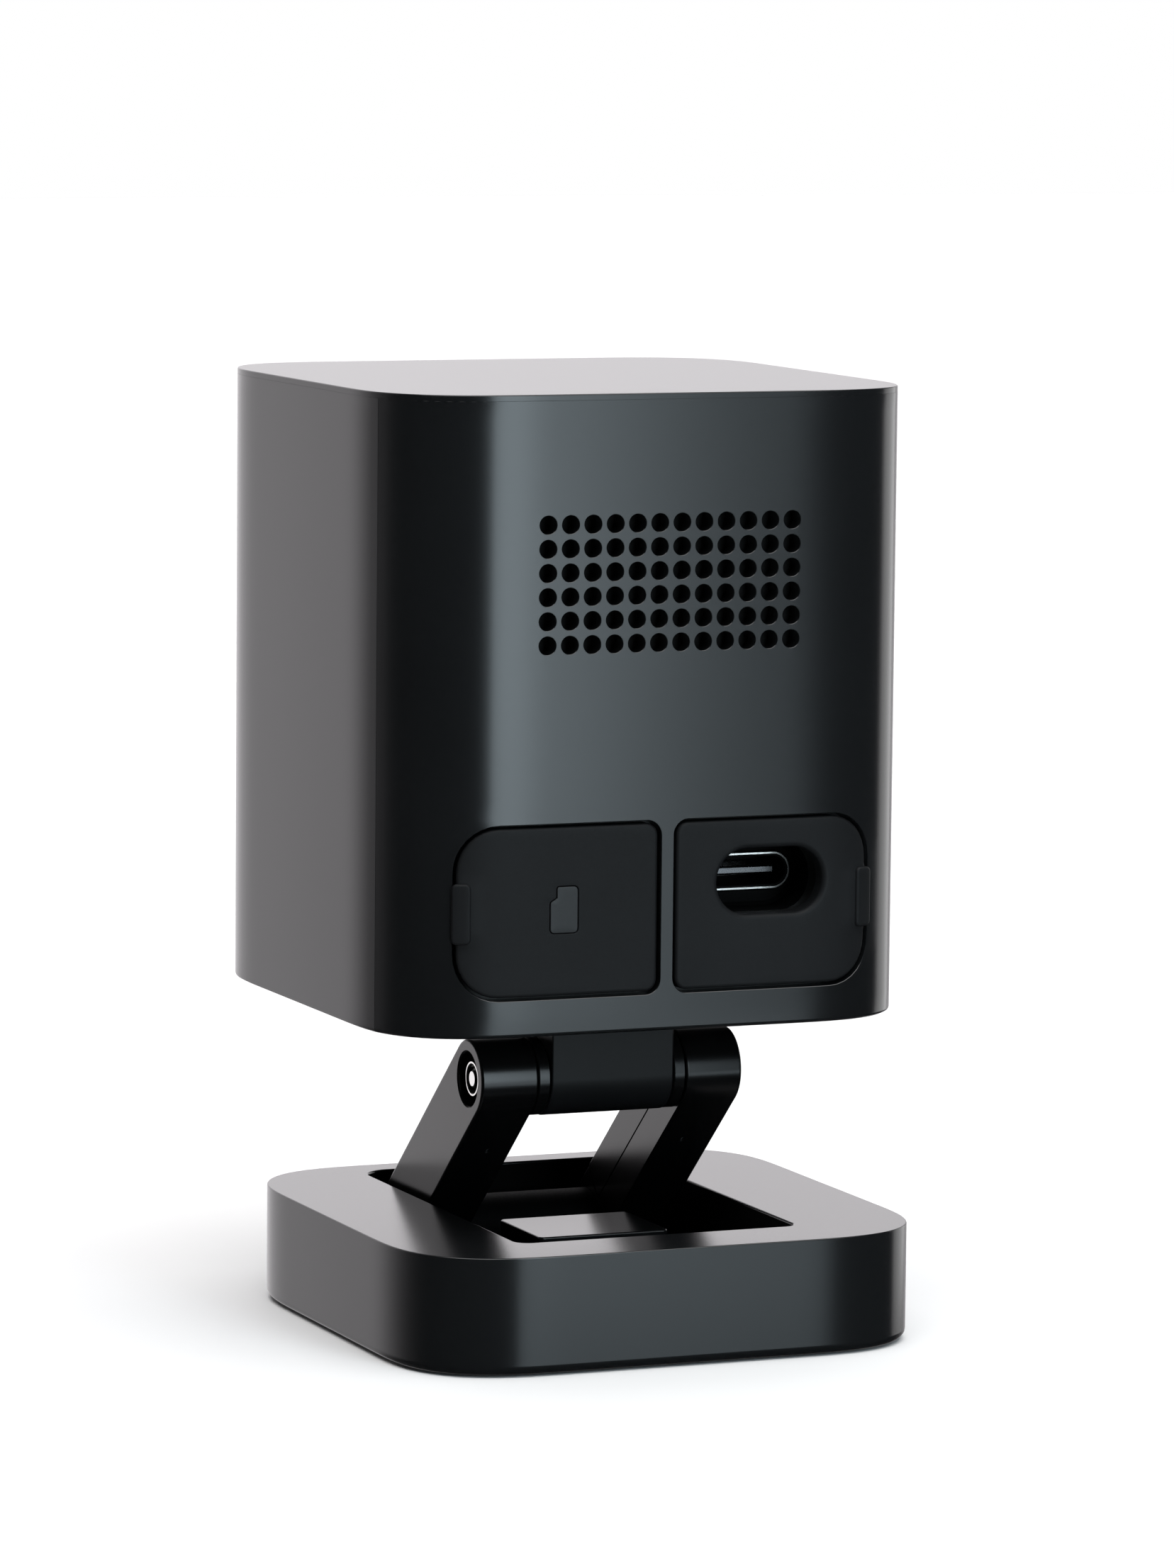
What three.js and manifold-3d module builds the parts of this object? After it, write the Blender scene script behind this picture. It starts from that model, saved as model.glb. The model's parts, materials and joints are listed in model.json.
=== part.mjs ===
// Compact indoor camera on a folding stand: a rounded-square head with a hinge lug, a two-arm
// bracket, and a square base with a pocket that the bracket folds into. Millimetres, +Z up,
// lens towards -Y, speaker and sockets towards +Y. Origin: centre of the base's underside.
import * as THREE from "three";
import { mergeVertices } from "three/addons/utils/BufferGeometryUtils.js";
import Module from "manifold-3d";

const wasm = await Module();
wasm.setup();

// ---- Driving dimensions -------------------------------------------------------------------
const BASE = { side: 46, corner: 8.7, height: 9.85, wall: 1.8, skin: 1.6 };
const HEAD = { side: 47.1, corner: 9.4, height: 52.5, wall: 1.8 };
const LINK = 24.7; // lower hinge axis to upper hinge axis
const RISE = THREE.MathUtils.degToRad(41); // the bracket's angle above the base
const ARM = { thick: 6.7, width: 5.05, outer: 11.8 };
const LOW_AXIS = { y: -15.6, z: 5.2 };
const PIN = { low: 1.3, high: 1.5, run: 0.1 }; // radii, and the running clearance of a bore
const SEAM = 0.12; // gap at a visible parting line
const FIT = 0.3; // gap between an inner piece and its neighbour
const HEAD_RISE = 5.6; // upper hinge axis to the head's underside

const ARM_R = ARM.thick / 2;
const ARM_INNER = ARM.outer - ARM.width;
const HIGH_AXIS = {
  y: LOW_AXIS.y + LINK * Math.cos(RISE),
  z: LOW_AXIS.z + LINK * Math.sin(RISE),
};
// Folded flat, the head is centred on the base, which fixes the lug's place under the head.
const LUG_Y = LOW_AXIS.y + LINK;
const HALF = HEAD.side / 2;

// ---- Colours and finishes -----------------------------------------------------------------
const finish = (color, roughness, metalness) =>
  new THREE.MeshStandardMaterial({ color, roughness, metalness });
const SHELL = finish(0x24272a, 0.42, 0);
const RUBBER = finish(0x1b1d1f, 0.7, 0);
const BLACK = finish(0x0a0a0b, 0.5, 0);
const STEEL = finish(0xb9bbbd, 0.3, 1);
const NICKEL = finish(0xc3bfb4, 0.25, 1);
const GLASS = finish(0x050506, 0.06, 0);
const BOARD = finish(0x1d5a36, 0.55, 0);
const ALUMINIUM = finish(0xa7abb0, 0.4, 1);
const CLOTH = finish(0x101112, 0.95, 0);
const COPPER = finish(0xb8754a, 0.4, 1);
const AMBER = finish(0x3a2a30, 0.2, 0);

// ---- Solid helpers ------------------------------------------------------------------------
const CORNER = 3; // curve segments of a rounded corner; the arc gets twice as many sides
const BORE = 8; // curve segments of a bore or a shaft
const SMALL = 6; // curve segments of a screw hole

function solid(geometry) {
  const bare = geometry.index ? geometry.toNonIndexed() : geometry.clone();
  bare.deleteAttribute("normal");
  bare.deleteAttribute("uv");
  const merged = mergeVertices(bare, 1e-4);
  const vertProperties = new Float32Array(merged.attributes.position.array);
  const triVerts = new Uint32Array(merged.index.array);
  return new wasm.Manifold(new wasm.Mesh({ numProp: 3, vertProperties, triVerts }));
}

function geometryOf(made) {
  const { vertProperties, triVerts } = made.getMesh();
  const geometry = new THREE.BufferGeometry();
  geometry.setAttribute("position", new THREE.BufferAttribute(vertProperties, 3));
  geometry.setIndex(new THREE.BufferAttribute(triVerts, 1));
  geometry.computeVertexNormals();
  return geometry;
}

// A rectangle centred on (cx, cy); radii run anticlockwise from the corner at low x, low y.
function rectangle(width, height, radii = 0, cx = 0, cy = 0) {
  const [a, b, c, d] = Array.isArray(radii) ? radii : [radii, radii, radii, radii];
  const [x0, x1, y0, y1] = [cx - width / 2, cx + width / 2, cy - height / 2, cy + height / 2];
  const shape = new THREE.Shape();
  shape.moveTo(x0 + a, y0).lineTo(x1 - b, y0);
  if (b) shape.absarc(x1 - b, y0 + b, b, -Math.PI / 2, 0);
  shape.lineTo(x1, y1 - c);
  if (c) shape.absarc(x1 - c, y1 - c, c, 0, Math.PI / 2);
  shape.lineTo(x0 + d, y1);
  if (d) shape.absarc(x0 + d, y1 - d, d, Math.PI / 2, Math.PI);
  shape.lineTo(x0, y0 + a);
  if (a) shape.absarc(x0 + a, y0 + a, a, Math.PI, Math.PI * 1.5);
  return shape;
}

function disc(r, cx = 0, cy = 0) {
  return new THREE.Shape().absarc(cx, cy, r, 0, Math.PI * 2);
}

function extrude(shape, depth, curveSegments) {
  return new THREE.ExtrudeGeometry(shape, { depth, curveSegments, bevelEnabled: false });
}

// Prisms along each axis. alongX takes a shape in (y, z), alongY one in (x, z).
function alongZ(shape, z0, z1, segments = CORNER) {
  return solid(extrude(shape, z1 - z0, segments).translate(0, 0, z0));
}
function alongY(shape, y0, y1, segments = CORNER) {
  return solid(extrude(shape, y1 - y0, segments).rotateX(Math.PI / 2).translate(0, y1, 0));
}
const TO_X = new THREE.Matrix4().makeBasis(
  new THREE.Vector3(0, 1, 0),
  new THREE.Vector3(0, 0, 1),
  new THREE.Vector3(1, 0, 0),
);
function alongX(shape, x0, x1, segments = CORNER) {
  return solid(extrude(shape, x1 - x0, segments).applyMatrix4(TO_X).translate(x0, 0, 0));
}
function block(x0, x1, y0, y1, z0, z1) {
  const box = new THREE.BoxGeometry(x1 - x0, y1 - y0, z1 - z0);
  return solid(box.translate((x0 + x1) / 2, (y0 + y1) / 2, (z0 + z1) / 2));
}
// A turned piece about +Z: profile points are (radius, height) and start and end on the axis.
function turned(points, segments = 20) {
  const profile = points.map(([r, h]) => new THREE.Vector2(r, h));
  return new THREE.LatheGeometry(profile, segments).rotateX(Math.PI / 2);
}
const union = (...parts) => parts.reduce((a, b) => a.add(b));
const cut = (body, ...tools) => tools.reduce((a, b) => a.subtract(b), body);

function piece(name, shape, material, parent, x = 0, y = 0, z = 0) {
  const geometry = shape.isBufferGeometry ? shape : geometryOf(shape);
  const mesh = new THREE.Mesh(geometry, material);
  mesh.name = name;
  mesh.position.set(x, y, z);
  parent.add(mesh);
  return mesh;
}

// A pan-head screw about +Z, its head down at z = 0 and its tip up, with a cross recess.
function screw(headR, headH, shankR, length) {
  const body = solid(
    turned([[0, 0], [headR, 0], [headR, headH], [shankR, headH], [shankR, length], [0, length]], 12),
  );
  const arm = headR * 0.62;
  const web = headR * 0.14;
  const deep = headH * 0.55;
  return cut(
    body,
    block(-arm, arm, -web, web, -1, deep),
    block(-web, web, -arm, arm, -1, deep),
  );
}

const camera = new THREE.Group();

// ---- Base ---------------------------------------------------------------------------------
const POCKET = { half: 12.5, y0: -20.2, y1: 16.6, corner: 2.4 };
const BOSS = { half: 5.9, y0: -4.4, y1: 4.9, top: 7.9 };
const FLOOR = { foot: 0.6, top: 1.5, inset: 1.5, edge: 0.5 };
const CAVITY = { x0: 14.3, x1: 21, y: 12.5 };
const BASE_SCREW = { at: 16.6, headR: 1.9, headH: 0.7, shankR: 1, length: 6.5 };
const MAGNET = { r: 4.2, top: 6.6 };

function addBase() {
  const outline = rectangle(BASE.side, BASE.side, BASE.corner);
  const plateSide = BASE.side - 2 * FLOOR.inset;
  const plateCorner = BASE.corner - FLOOR.inset;
  const plate = rectangle(plateSide, plateSide, plateCorner);
  const seat = rectangle(plateSide + 2 * SEAM, plateSide + 2 * SEAM, plateCorner + SEAM);
  const pocketDepth = POCKET.y1 - POCKET.y0;
  const pocketMid = (POCKET.y0 + POCKET.y1) / 2;
  const pocket = rectangle(2 * POCKET.half, pocketDepth, POCKET.corner, 0, pocketMid);
  const corners = [[-1, -1], [1, -1], [1, 1], [-1, 1]];
  const pinHole = disc(PIN.low + PIN.run, LOW_AXIS.y, LOW_AXIS.z);
  const screwHole = ([sx, sy], r, z0, z1) =>
    alongZ(disc(r, sx * BASE_SCREW.at, sy * BASE_SCREW.at), z0, z1, SMALL);

  // The shell: its pocket is open right through, and the bottom plate closes it.
  let shell = alongZ(outline, FLOOR.edge, BASE.height);
  shell = cut(
    shell,
    alongZ(seat, -1, FLOOR.top),
    alongZ(pocket, -1, BASE.height + 1),
    block(CAVITY.x0, CAVITY.x1, -CAVITY.y, CAVITY.y, 0, BASE.height - BASE.skin),
    block(-CAVITY.x1, -CAVITY.x0, -CAVITY.y, CAVITY.y, 0, BASE.height - BASE.skin),
    alongX(pinHole, -14.6, 14.6, BORE),
    ...corners.map((c) => screwHole(c, BASE_SCREW.shankR + 0.05, 0, BASE_SCREW.length + 1)),
  );
  piece("base_shell", shell, SHELL, camera);

  // The bottom plate carries the boss that the holding magnet sits in, open from below.
  const bossShape = rectangle(2 * BOSS.half, BOSS.y1 - BOSS.y0, 0.8, 0, (BOSS.y0 + BOSS.y1) / 2);
  const bottom = cut(
    union(alongZ(plate, FLOOR.foot, FLOOR.top), alongZ(bossShape, FLOOR.top - 0.4, BOSS.top, 1)),
    alongZ(disc(MAGNET.r + SEAM), -1, MAGNET.top + SEAM, BORE),
    ...corners.map((c) => screwHole(c, BASE_SCREW.shankR + 0.05, 0, 3)),
    ...corners.map((c) => screwHole(c, BASE_SCREW.headR + 0.1, 0, FLOOR.foot + 0.35)),
  );
  piece("base_bottom_plate", bottom, BLACK, camera);

  const footSide = plateSide - 1.6;
  const foot = rectangle(footSide, footSide, plateCorner - 0.8);
  piece("foot_pad", alongZ(foot, 0, FLOOR.foot - 0.05), RUBBER, camera);
  piece("base_magnet", alongZ(disc(MAGNET.r), FLOOR.foot, MAGNET.top, BORE), NICKEL, camera);

  const barTop = BASE.height - BASE.skin - FIT;
  for (const [side, name] of [[1, "ballast_left"], [-1, "ballast_right"]]) {
    const middle = (side * (CAVITY.x0 + CAVITY.x1)) / 2;
    const width = CAVITY.x1 - CAVITY.x0 - 2 * FIT;
    const bar = rectangle(width, 2 * (CAVITY.y - FIT), 1, middle, 0);
    piece(name, alongZ(bar, FLOOR.top + 0.05, barTop, 1), STEEL, camera);
  }

  const { headR, headH, shankR, length } = BASE_SCREW;
  corners.forEach(([sx, sy], i) => {
    const made = screw(headR, 0.3, shankR, length);
    piece(`base_screw_${i + 1}`, made, STEEL, camera, sx * BASE_SCREW.at, sy * BASE_SCREW.at, FLOOR.foot);
  });

  const pin = alongX(disc(PIN.low, LOW_AXIS.y, LOW_AXIS.z), -14.3, 14.3, BORE);
  piece("lower_hinge_pin", pin, STEEL, camera);
}

// ---- Bracket ------------------------------------------------------------------------------
// Local frame: origin on the lower hinge axis, +Y along the arms, +Z square to them.
const COUNTERBORE = { r: 2.3, deep: 1.1, pinBelow: 0.4 };
const LUG = { half: 5.5 };
const WASHER = { r: 3.22, x0: 5.62, x1: 6.62 };
const LID = { from: 3.6, to: LINK - 3.6, thick: 1 }; // covers half of an arm's inner face

function addBracket() {
  const bracket = new THREE.Group();
  bracket.position.set(0, LOW_AXIS.y, LOW_AXIS.z);
  bracket.rotation.x = RISE;
  camera.add(bracket);

  const armShape = rectangle(LINK + ARM.thick, ARM.thick, ARM_R - 0.001, LINK / 2, 0);
  const lidShape = (grow) => {
    const [y0, y1] = [LID.from - grow, LID.to + grow];
    return rectangle(y1 - y0, ARM_R + 2, 0, (y0 + y1) / 2, ARM_R / 2 + 1 + SEAM - grow);
  };
  const lidDepth = ARM_INNER + LID.thick + SEAM;
  const arms = alongX(armShape, ARM_INNER, ARM.outer).add(alongX(armShape, -ARM.outer, -ARM_INNER));
  const frame = cut(
    arms.add(alongX(disc(ARM_R), -ARM_INNER - 0.5, ARM_INNER + 0.5, 4 * CORNER)),
    alongX(disc(PIN.low + PIN.run), -20, 20, BORE),
    alongX(disc(PIN.high + PIN.run, LINK, 0), -20, 20, BORE),
    alongX(disc(COUNTERBORE.r, LINK, 0), ARM.outer - COUNTERBORE.deep, 20, BORE),
    alongX(disc(COUNTERBORE.r, LINK, 0), -20, COUNTERBORE.deep - ARM.outer, BORE),
    alongX(lidShape(SEAM), -lidDepth, lidDepth),
  );
  piece("bracket_frame", frame, SHELL, bracket);
  const lids = arms.intersect(alongX(lidShape(0), SEAM - lidDepth, lidDepth - SEAM));
  const [right, left] = [block(-20, 0, -9, 40, -9, 9), block(0, 20, -9, 40, -9, 9)];
  piece("arm_lid_left", lids.intersect(left), SHELL, bracket);
  piece("arm_lid_right", lids.intersect(right), SHELL, bracket);

  // The upper pin is tubular at its ends, with a core that shows inside the rim.
  const end = ARM.outer - COUNTERBORE.pinBelow;
  const groove = new THREE.Shape().absarc(LINK, 0, 1.18, 0, Math.PI * 2);
  groove.holes.push(new THREE.Path().absarc(LINK, 0, 0.72, 0, Math.PI * 2));
  const pin = cut(
    alongX(disc(PIN.high, LINK, 0), -end, end, BORE),
    alongX(groove, end - 0.7, end + 1, BORE),
    alongX(groove, -end - 1, 0.7 - end, BORE),
  );
  piece("upper_hinge_pin", pin, STEEL, bracket);
  for (const [side, name] of [[1, "friction_washer_left"], [-1, "friction_washer_right"]]) {
    const [x0, x1] = side > 0 ? [WASHER.x0, WASHER.x1] : [-WASHER.x1, -WASHER.x0];
    const ring = cut(
      alongX(disc(WASHER.r, LINK, 0), x0, x1, 10),
      alongX(disc(PIN.high + PIN.run, LINK, 0), -20, 20, BORE),
    );
    piece(name, ring, BLACK, bracket);
  }
}

// ---- Head ---------------------------------------------------------------------------------
// Local frame: origin at the centre of the head's underside.
const REAR_SEAM = 16.86; // where the rear cover meets the main housing
const CAP = { lip: 0.45, deep: 2.1 };
const PLATE = 1.6; // bottom plate
const GRILLE = { columns: 12, rows: 6, pitch: 1.965, r: 0.71, z: 37 };
const BAY = { x0: 0.55, x1: 18.55, z0: 3.05, z1: 17.5, inner: 1.3, outer: 3.9, deep: 1.75 };
const BAY_FLOOR = 3.1; // inner side of a bay's floor, from the outside surface
const COVER = { gap: 0.35, thick: 1.6 };
const TAB = { z0: 7.8, z1: 12.8, x0: 17, proud: 0.35 };
const USB = { x: -9.35, z: 12.05, holeW: 9.9, holeH: 5.8, shellW: 8.94, shellH: 3.16, mouth: 17.2 };
const CARD = { x: 11, width: 11.6, z: 11.3, height: 1.6 };
const RESET = { x: 2.85, z: 11.9, r: 0.95, end: 21.4, travel: 0.5 };
const LENS = { z: 31, hole: 6.4, segments: 28 };
const WINDOW = { width: 29, height: 42, corner: 5.5, thick: 1.1, z: 26.5, ledge: 2 };

// The head's vertical prism taken in by a distance all round.
function inset(d, z0, z1) {
  const side = HEAD.side - 2 * d;
  return alongZ(rectangle(side, side, HEAD.corner - d), z0, z1);
}

// The outline of a bay in (x, z), grown by a distance; side is +1 for the card, -1 for USB.
function bayShape(side, grow) {
  const middle = (side * (BAY.x0 + BAY.x1)) / 2;
  const width = BAY.x1 - BAY.x0 + 2 * grow;
  const height = BAY.z1 - BAY.z0 + 2 * grow;
  const near = Math.max(BAY.inner + grow, 0.3);
  const far = BAY.outer + grow;
  const radii = side > 0 ? [near, far, far, near] : [far, near, near, far];
  return rectangle(width, height, radii, middle, (BAY.z0 + BAY.z1) / 2);
}
const stadium = (w, h, cx, cz) => rectangle(w, h, h / 2 - 0.001, cx, cz);

function mainHousing() {
  const opening = rectangle(WINDOW.width, WINDOW.height, WINDOW.corner, 0, WINDOW.z);
  const through = rectangle(
    WINDOW.width - 2 * WINDOW.ledge,
    WINDOW.height - 2 * WINDOW.ledge,
    WINDOW.corner - WINDOW.ledge,
    0,
    WINDOW.z,
  );
  const ring = cut(inset(0, 0, HEAD.height - CAP.lip - SEAM), inset(HEAD.wall, -1, HEAD.height));
  const posts = CASE_SCREWS.map(([x, y]) => alongZ(disc(2.6, x, y), PLATE + SEAM, 8.2));
  const half = HALF - 0.5;
  const within = block(-half, half, -half, half, 0, HEAD.height);
  const body = union(ring, ...posts.map((p) => p.intersect(within)));
  return cut(
    body,
    block(-HALF - 1, HALF + 1, REAR_SEAM - SEAM / 2, HALF + 1, -1, HEAD.height + 1),
    alongY(opening, -HALF - 1, -HALF + WINDOW.thick + SEAM),
    alongY(through, -HALF - 1, -HALF + 4),
    alongY(disc(0.5, 0, 2.7), -HALF - 1, -HALF + 4),
    ...CASE_SCREWS.map(([x, y]) => alongZ(disc(0.95, x, y), -1, 7.6, SMALL)),
  );
}

function rearCover() {
  const ring = cut(inset(0, 0, HEAD.height - CAP.lip - SEAM), inset(HEAD.wall, -1, HEAD.height));
  const thick = cut(inset(1, 1, 20), inset(BAY_FLOOR, 0, 21));
  const bays = [1, -1];
  const floors = bays.map((s) => thick.intersect(alongY(bayShape(s, 1.3), 10, 24)));
  const recesses = bays.map((s) =>
    cut(inset(-1, 1, 20), inset(BAY.deep, 0, 21)).intersect(alongY(bayShape(s, 0), 10, 26)),
  );
  const holes = [];
  for (let i = 0; i < GRILLE.columns; i++)
    for (let k = 0; k < GRILLE.rows; k++) {
      const x = (i - (GRILLE.columns - 1) / 2) * GRILLE.pitch;
      const z = GRILLE.z + (k - (GRILLE.rows - 1) / 2) * GRILLE.pitch;
      holes.push(alongY(disc(GRILLE.r, x, z), 20, 25));
    }
  return cut(
    union(ring, ...floors),
    block(-HALF - 1, HALF + 1, -HALF - 1, REAR_SEAM + SEAM / 2, -1, HEAD.height + 1),
    inset(HEAD.wall, -1, PLATE + 0.35),
    ...recesses,
    ...holes,
    alongY(stadium(USB.holeW, USB.holeH, USB.x, USB.z), 15, 25),
    alongY(rectangle(CARD.width - 0.4, CARD.height - 0.2, 0, CARD.x, CARD.z), 15, 25),
    alongY(disc(RESET.r + 0.15, RESET.x, RESET.z), 15, 25, SMALL),
  );
}

// A rubber cover lies flush in its bay, with a pull tab over the gap on its far edge.
function cover(side) {
  const skin = cut(inset(0.05, 1, 20), inset(COVER.thick, 0, 21));
  const tabMid = side * (TAB.x0 + BAY.x1 + 0.1) * 0.5;
  const tabWidth = BAY.x1 + 0.1 - TAB.x0;
  const tabShape = rectangle(tabWidth, TAB.z1 - TAB.z0, 0.5, tabMid, (TAB.z0 + TAB.z1) / 2);
  const lip = cut(inset(-TAB.proud, 1, 20), inset(-0.06, 0, 21));
  const root = cut(inset(-0.2, 1, 20), inset(1, 0, 21));
  const tab = lip.intersect(alongY(tabShape, 10, 26, 1));
  const plate = skin.intersect(alongY(bayShape(side, -COVER.gap), 10, 26));
  const join = root.intersect(alongY(bayShape(side, -COVER.gap - 0.1), 10, 26));
  return union(plate, tab, join.intersect(alongY(tabShape, 10, 26, 1)));
}

function topCap() {
  const chamfer = 0.35;
  const top = HEAD.height;
  const lip = union(
    inset(0, top - CAP.lip, top - chamfer + 0.15),
    inset(0.15, top - CAP.lip, top),
  );
  const plug = cut(
    inset(HEAD.wall + SEAM, top - CAP.deep, top - CAP.lip + 0.1),
    inset(HEAD.wall + 1.5, top - CAP.deep - 1, top - 1.3),
  );
  return union(lip, plug);
}

const CASE_SCREWS = [[-19.4, -14], [19.4, -14], [19.4, 12.6], [-19.4, 12.6]];

function bottomPlate() {
  const slot = rectangle(2 * LUG.half + 0.3, ARM.thick + 0.3, 0, 0, LUG_Y);
  return cut(
    inset(HEAD.wall + SEAM, 0.3, PLATE),
    alongZ(slot, -1, 3),
    ...CASE_SCREWS.map(([x, y]) => alongZ(disc(1.05, x, y), -1, 3, SMALL)),
    ...CASE_SCREWS.map(([x, y]) => alongZ(disc(1.9, x, y), -1, 0.9, SMALL)),
  );
}

const LUG_SCREWS = [[-7.3, LUG_Y], [7.3, LUG_Y]];
function hingeLug() {
  const blade = new THREE.Shape();
  blade.moveTo(LUG_Y + ARM_R, -HEAD_RISE).lineTo(LUG_Y + ARM_R, 3).lineTo(LUG_Y - ARM_R, 3);
  blade.lineTo(LUG_Y - ARM_R, -HEAD_RISE);
  blade.absarc(LUG_Y, -HEAD_RISE, ARM_R, Math.PI, 2 * Math.PI);
  return cut(
    union(
      alongX(blade, -LUG.half, LUG.half, SMALL),
      alongZ(rectangle(20, 11, 0, 0, LUG_Y), PLATE + SEAM, PLATE + SEAM + 2),
    ),
    alongX(disc(PIN.high + PIN.run, LUG_Y, -HEAD_RISE), -20, 20, BORE),
    ...LUG_SCREWS.map(([x, y]) => alongZ(disc(0.8, x, y), 0, 6, SMALL)),
  );
}

function addHousing(head) {
  piece("main_housing", mainHousing(), SHELL, head);
  piece("rear_cover", rearCover(), SHELL, head);
  piece("top_cap", topCap(), SHELL, head);
  piece("bottom_plate", bottomPlate(), SHELL, head);
  piece("hinge_lug", hingeLug(), SHELL, head);
  piece("sd_cover", cover(1), RUBBER, head);
  const usbHole = alongY(stadium(USB.holeW, USB.holeH, USB.x, USB.z), 10, 26);
  piece("usb_cover", cut(cover(-1), usbHole), RUBBER, head);
  CASE_SCREWS.forEach(([x, y], i) =>
    piece(`case_screw_${i + 1}`, screw(1.8, 0.55, 0.85, 7), STEEL, head, x, y, 0.3),
  );
  LUG_SCREWS.forEach(([x, y], i) => {
    const made = screw(1.5, 0.9, 0.7, 2.8);
    const top = PLATE + SEAM + 2 + 0.05 + 0.9;
    piece(`lug_screw_${i + 1}`, made, STEEL, head, x, y, top).rotation.x = Math.PI;
  });
}

// Lens, image sensor, infrared lamps and what else sits behind the front window.
function addOptics(head) {
  const front = -HALF + 0.05;
  const window = rectangle(
    WINDOW.width - 2 * SEAM,
    WINDOW.height - 2 * SEAM,
    WINDOW.corner - SEAM,
    0,
    WINDOW.z,
  );
  const pane = alongY(window, front, front + WINDOW.thick);
  const lensHole = alongY(disc(LENS.hole + 1.7, 0, LENS.z), -30, -15, LENS.segments / 2);
  piece("front_window", cut(pane, lensHole), GLASS, head);

  // Turned pieces about the lens axis, drawn with their height running back from the front.
  const aimed = (name, made, material, y) => {
    const mesh = piece(name, made, material, head, 0, y, LENS.z);
    mesh.rotation.x = -Math.PI / 2;
  };
  const lathe = (points) => solid(turned(points, LENS.segments));
  const r = LENS.hole;
  const trim = lathe([[0, 0], [r + 0.7, 0], [r + 1.5, 0.8], [r + 1.5, 3], [0, 3]]);
  const trimHole = lathe([[0, -1], [r + 0.2, -1], [r - 0.6, 3.5], [0, 3.5]]);
  aimed("lens_trim_ring", cut(trim, trimHole), BLACK, 0.05 - HALF);
  const barrel = lathe([[0, 0], [5.4, 0], [5.4, 9.3], [0, 9.3]]);
  const bore = lathe([[0, -1], [4.5, -1], [4.5, 1.9], [3.4, 1.9], [3.4, 20], [0, 20]]);
  aimed("lens_barrel", cut(barrel, bore), BLACK, -22.6);
  const dome = lathe([[0, 0], [1.6, 0.14], [3, 0.5], [4.3, 1.15], [4.3, 1.8], [0, 1.8]]);
  aimed("lens_glass", dome, GLASS, -22.55);

  // The holder spaces the lens from the sensor; the infrared filter slides across inside it.
  const holder = cut(
    block(-9, 12.6, -13, -9.6, LENS.z - 8, LENS.z + 8),
    block(-4.4, 11.4, -12, -9, LENS.z - 4.4, LENS.z + 4.4),
    alongY(disc(3.4, 0, LENS.z), -14, -11),
  );
  piece("lens_holder", holder, BLACK, head);
  const filter = block(-3.6, 3.6, -11.6, -11.1, LENS.z - 3.6, LENS.z + 3.6);
  piece("ir_cut_filter", filter, AMBER, head);
  piece("image_sensor", block(-3.6, 3.6, -10.4, -9.4, LENS.z - 3.2, LENS.z + 3.2), BLACK, head);
  const sensorBoard = rectangle(35, 40, 1.5, 0, LENS.z - 2);
  piece("sensor_board", alongY(sensorBoard, -9.3, -8.1, 1), BOARD, head);

  const ledBoard = cut(
    alongY(rectangle(24.4, 37.4, 2, 0, WINDOW.z), -21, -20, 1),
    alongY(disc(r + 1.9, 0, LENS.z), -30, -15, LENS.segments / 2),
    alongY(disc(1.1, 0, 10), -30, -15, SMALL),
  );
  piece("led_board", ledBoard, BOARD, head);
  [[-8.4, 18], [8.4, 18]].forEach(([x, z], i) => {
    const lamp = solid(turned([[0, 0], [0.9, 0.15], [1.4, 0.6], [1.7, 0.75], [1.7, 1.2], [0, 1.2]], 12));
    const mesh = piece(`ir_led_${i + 1}`, lamp, AMBER, head, x, -22.25, z);
    mesh.rotation.x = -Math.PI / 2;
  });
  piece("status_light_guide", alongY(disc(0.9, 0, 10), -22.2, -19.6, SMALL), AMBER, head);
  piece("microphone", block(-1.9, 1.9, -21.5, -20.4, 1.9, 4.6), STEEL, head);

  // The heat spreader is a comb of fins that stands behind the sensor board.
  const comb = new THREE.Shape().moveTo(-16, -6.8).lineTo(16, -6.8).lineTo(16, -2.4);
  const fins = 7;
  const step = 32 / (2 * fins - 1);
  for (let i = 0; i < fins; i++) {
    const x = 16 - 2 * i * step;
    comb.lineTo(x - step, -2.4);
    if (i < fins - 1) comb.lineTo(x - step, -5.6).lineTo(x - 2 * step, -5.6).lineTo(x - 2 * step, -2.4);
  }
  comb.lineTo(-16, -6.8);
  piece("heat_spreader", alongZ(comb, 12, 46), ALUMINIUM, head);
}

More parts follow.
